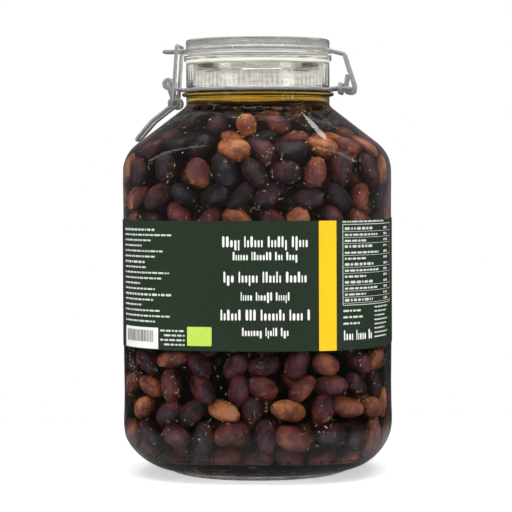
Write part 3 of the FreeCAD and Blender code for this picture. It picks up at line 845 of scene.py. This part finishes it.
def label_print():
    low, high = label_low.z / MM, label_high.z / MM
    white = Print("label_print_white", 0.10)
    fine = Print("label_print_fine", 0.10)
    yellow = Print("label_stripe", 0.05)
    lime = Print("label_lime_patch", 0.05)
    box = Print("label_white_patch", 0.05)
    dark = Print("label_dark_bars", 0.10)

    yellow.bar(47.2, 59.0, low + 0.05, high - 0.05)
    # three pairs of title lines on one centre, each (height, width, size of its strokes) in millimetres
    centre = 13.2
    lines = (
        (153.4, 55.0, 6.0),
        (144.6, 41.0, 4.6),
        (131.3, 55.0, 6.0),
        (119.4, 31.0, 4.6),
        (107.6, 56.0, 6.0),
        (97.2, 30.0, 4.6),
    )
    for index, (height, wide, tall) in enumerate(lines):
        white.greeked(centre - wide / 2, centre + wide / 2, height - tall * 0.5, tall * 0.8, 40 + index)
    # the ruled table on the right
    table_left, table_right = 63.4, 128.0
    fine.frame(table_left, table_right, 113.4, 164.6, 0.45)
    fine.words(table_left, table_right - 18, 166.0 - 0.4, 1.0, 60)
    for index in range(13):
        height = 160.9 - 3.75 * index
        heavy = index % 3 == 0
        row_end = table_left + 28 + 9 * math.sin(index * 2.1)
        fine.words(table_left + 1.6, row_end, height, 1.7 if heavy else 1.3, 80 + index)
        fine.words(table_right - 20, table_right - 10, height, 1.5, 100 + index)
        if index not in (3, 5, 8):
            fine.bar(table_left, table_right, height - 1.15, height - 0.9)
    for index, (height, wide) in enumerate(((109.4, 15.0), (105.4, 17.0), (101.4, 14.5))):
        fine.words(63.8, 63.8 + wide, height, 1.3, 120 + index)
    for index in range(8):
        fine.words(93.0, 118.0 - 4 * (index % 3), 111.0 - 2.7 * index, 1.0, 140 + index)
    white.greeked(63.8, 90.0, 91.4, 4.4, 9, (4, 6))
    # the small print on the left
    for index in range(18):
        top = 162.0 - 3.42 * index
        right = -60.0 + 13.0 * math.sin(index * 1.7) * (index % 6 != 5)
        heavy = index % 6 == 0
        fine.words(-97.0, right, top - (1.5 if heavy else 1.2), 1.5 if heavy else 1.15, 160 + index)
    for index in range(4):
        fine.words(-56.0 + 3.0 * (index % 2), -38.2, 97.2 - 2.9 * index, 1.2, 200 + index)
    # the bar field and the lime patch
    box.bar(-96.5, -57.6, 84.0 + 2.0, 99.4)
    draw = np.random.default_rng(3)
    x = -92.0
    while x < -62.0:
        wide = draw.choice([0.3, 0.45, 0.7])
        dark.bar(x, x + wide, 90.2, 97.6)
        x += wide + draw.choice([0.35, 0.5, 0.8])
    lime.bar(-36.6, -20.6, 88.6, 100.6, 0.5)

    ink = paper_material("ink_white", srgb(232, 234, 228), 0.05)
    yellow.finish(paper_material("ink_yellow", srgb(246, 192, 6), 0.04))
    lime.finish(paper_material("ink_lime", srgb(186, 216, 84), 0.05))
    box.finish(paper_material("paper_white", srgb(226, 228, 224), 0.04))
    dark.finish(paper_material("ink_dark", srgb(40, 40, 38), 0.1))
    white.finish(ink)
    fine.finish(paper_material("ink_fine", srgb(196, 202, 192), 0.06))


dress(nodes["label"], paper_material("label_green", srgb(36, 50, 36), 0.10, 0.46))
label_print()

# ---------------------------------------------------------------- gasket and closure


def gasket_material():
    s = Shader("gasket_rubber")
    cloud = s.noise(45.0, 4.0)
    grain = s.noise(700.0, 3.0)
    colour = s.mix(s.span(cloud, 0.35, 0.65), srgb(216, 210, 192), srgb(232, 228, 214))
    normal = s.bump(grain, 0.3, 0.00015)
    inputs = {"Base Color": colour, "Roughness": s.span(grain, 0.3, 0.7, 0.45, 0.65), "Normal": normal}
    return s.done(s.principled(inputs))


def wire_material():
    s = Shader("zinc_wire")
    drawn = s.noise(420.0, 5.0, s.scaled((1, 1, 0.25)))
    cloud = s.noise(70.0, 4.0)
    colour = s.mix(s.span(cloud, 0.3, 0.7), srgb(206, 208, 206), srgb(238, 239, 237))
    inputs = {
        "Base Color": colour,
        "Metallic": 0.74,
        "Roughness": s.span(drawn, 0.3, 0.7, 0.14, 0.28),
        "Normal": s.bump(drawn, 0.25, 0.0001),
    }
    return s.done(s.principled(inputs))


dress(nodes["gasket"], gasket_material())
zinc = wire_material()
for wire_name in ("neck_wire", "lid_wire", "hinge_collar", "latch_lever", "latch_link"):
    dress(nodes[wire_name], zinc)

# ---------------------------------------------------------------- studio

AZIMUTH = math.radians(6.0)
DISTANCE = 1.584
EYE_HEIGHT = 0.1987


def camera():
    lens = bpy.data.cameras.new("camera")
    lens.sensor_width = 36.0
    lens.lens = 168.75
    view = bpy.data.objects.new("camera", lens)
    bpy.context.scene.collection.objects.link(view)
    toward = Vector((math.sin(AZIMUTH), -math.cos(AZIMUTH), 0))
    right = Vector((math.cos(AZIMUTH), math.sin(AZIMUTH), 0))
    view.location = toward * DISTANCE + Vector((0, 0, EYE_HEIGHT))
    pitch = math.radians(2.05)
    aim = -toward * math.cos(pitch) - Vector((0, 0, 1)) * math.sin(pitch) - right * 0.00104
    turn = aim.to_track_quat("-Z", "Y").to_matrix().to_4x4()
    view.matrix_world = turn
    view.location = toward * DISTANCE + Vector((0, 0, EYE_HEIGHT))
    view.rotation_euler.rotate_axis("Z", math.radians(-0.23))
    bpy.context.scene.camera = view


def area_lamp(name, place, target, width, height, power, mirrored=True):
    lamp = bpy.data.lights.new(name, "AREA")
    lamp.shape = "RECTANGLE"
    lamp.size, lamp.size_y = width, height
    lamp.energy = power
    holder = bpy.data.objects.new(name, lamp)
    bpy.context.scene.collection.objects.link(holder)
    holder.location = place
    holder.visible_glossy = mirrored
    holder.rotation_euler = (Vector(target) - Vector(place)).to_track_quat("-Z", "Y").to_euler()


def seen_rays(s):
    """1 for what the camera sees, straight or through glass."""
    path = s.node("ShaderNodeLightPath").outputs
    return s.math("MAXIMUM", path["Is Camera Ray"], path["Is Transmission Ray"])


def mirrored_rays(s):
    """1 for what is only seen mirrored in something."""
    path = s.node("ShaderNodeLightPath").outputs
    return s.math("SUBTRACT", path["Is Glossy Ray"], path["Is Transmission Ray"], clamp=True)


def studio_floor():
    size = 3.0
    corners = [(-size, -size, 0), (size, -size, 0), (size, size, 0), (-size, size, 0)]
    mesh = bpy.data.meshes.new("floor")
    mesh.from_pydata(corners, [], [(0, 1, 2, 3)])
    floor = bpy.data.objects.new("floor", mesh)
    bpy.context.scene.collection.objects.link(floor)
    s = Shader("floor_pale")
    grain = s.noise(3.0, 2.0)
    colour = s.mix(grain, (0.86, 0.86, 0.86, 1.0), (0.9, 0.9, 0.9, 1.0))
    matte = s.node("ShaderNodeBsdfDiffuse", {"Color": colour}).outputs[0]
    bright = s.node("ShaderNodeEmission", {"Color": (1, 1, 1, 1), "Strength": 0.35}).outputs[0]
    added = s.node("ShaderNodeAddShader", {0: matte, 1: bright}).outputs[0]
    reach = s.node("ShaderNodeVectorMath", {0: s.where()}, operation="LENGTH").outputs["Value"]
    near = s.mix(s.span(reach, 0.14, 0.34), (0.3, 0.3, 0.3, 1.0), (0.04, 0.04, 0.04, 1.0))
    dim = s.node("ShaderNodeBsdfDiffuse", {"Color": near}).outputs[0]
    # away from the jar the floor runs into the white sweep behind it
    white = s.node("ShaderNodeEmission", {"Color": (1, 1, 1, 1), "Strength": 1.0}).outputs[0]
    fade = s.span(reach, 0.12, 0.36, smooth=True)
    faded = s.node("ShaderNodeMixShader", {0: fade, 1: added, 2: white}).outputs[0]
    lit = s.node("ShaderNodeMixShader", {0: seen_rays(s), 1: matte, 2: faded}).outputs[0]
    dress(floor, s.done(s.node("ShaderNodeMixShader", {0: mirrored_rays(s), 1: lit, 2: dim}).outputs[0]))


def studio_world():
    world = bpy.data.worlds.new("studio")
    bpy.context.scene.world = world
    world.use_nodes = True
    tree = world.node_tree
    tree.nodes.clear()
    out = tree.nodes.new("ShaderNodeOutputWorld")
    path = tree.nodes.new("ShaderNodeLightPath")
    coordinate = tree.nodes.new("ShaderNodeTexCoord")
    split = tree.nodes.new("ShaderNodeSeparateXYZ")
    tree.links.new(coordinate.outputs["Generated"], split.inputs[0])
    # glass sees a white sweep behind the jar and a darker room in front of it
    behind = tree.nodes.new("ShaderNodeMapRange")
    for index, value in enumerate((0.1, 0.6, 0.1, 1.0), start=1):
        behind.inputs[index].default_value = value
    tree.links.new(split.outputs["Y"], behind.inputs[0])
    fill = tree.nodes.new("ShaderNodeBackground")
    fill.inputs["Color"].default_value = (1, 1, 1, 1)
    fill.inputs["Strength"].default_value = 0.45
    room = tree.nodes.new("ShaderNodeBackground")
    room.inputs["Color"].default_value = (1, 1, 1, 1)
    room.inputs["Strength"].default_value = 0.14
    sweep = tree.nodes.new("ShaderNodeBackground")
    sweep.inputs["Color"].default_value = (1, 1, 1, 1)
    tree.links.new(behind.outputs[0], sweep.inputs["Strength"])
    plain = tree.nodes.new("ShaderNodeBackground")
    plain.inputs["Color"].default_value = (1, 1, 1, 1)
    gloss = tree.nodes.new("ShaderNodeMixShader")
    tree.links.new(path.outputs["Is Glossy Ray"], gloss.inputs[0])
    tree.links.new(fill.outputs[0], gloss.inputs[1])
    tree.links.new(room.outputs[0], gloss.inputs[2])
    first = tree.nodes.new("ShaderNodeMixShader")
    tree.links.new(path.outputs["Is Transmission Ray"], first.inputs[0])
    tree.links.new(gloss.outputs[0], first.inputs[1])
    tree.links.new(sweep.outputs[0], first.inputs[2])
    second = tree.nodes.new("ShaderNodeMixShader")
    tree.links.new(path.outputs["Is Camera Ray"], second.inputs[0])
    tree.links.new(first.outputs[0], second.inputs[1])
    tree.links.new(plain.outputs[0], second.inputs[2])
    tree.links.new(second.outputs[0], out.inputs["Surface"])


camera()
studio_floor()
studio_world()
area_lamp("lamp_left", (-0.95, -0.75, 0.55), (0, 0, 0.15), 0.5, 0.8, 7.0, mirrored=False)
area_lamp("lamp_right", (0.95, -0.65, 0.5), (0, 0, 0.15), 0.5, 0.8, 6.0, mirrored=False)
area_lamp("lamp_top", (0.05, -0.15, 1.1), (0, 0, 0.1), 0.9, 0.5, 9.0, mirrored=False)
area_lamp("strip_left", (-0.75, 0.0, 1.1), (0, 0, 0.2), 0.12, 1.0, 0.5)
area_lamp("strip_right", (0.8, 0.05, 1.1), (0, 0, 0.2), 0.12, 1.0, 0.5)
area_lamp("strip_back", (0.0, 0.75, 1.3), (0, 0, 0.2), 0.7, 0.1, 0.8)
bpy.context.scene.view_settings.view_transform = "Standard"
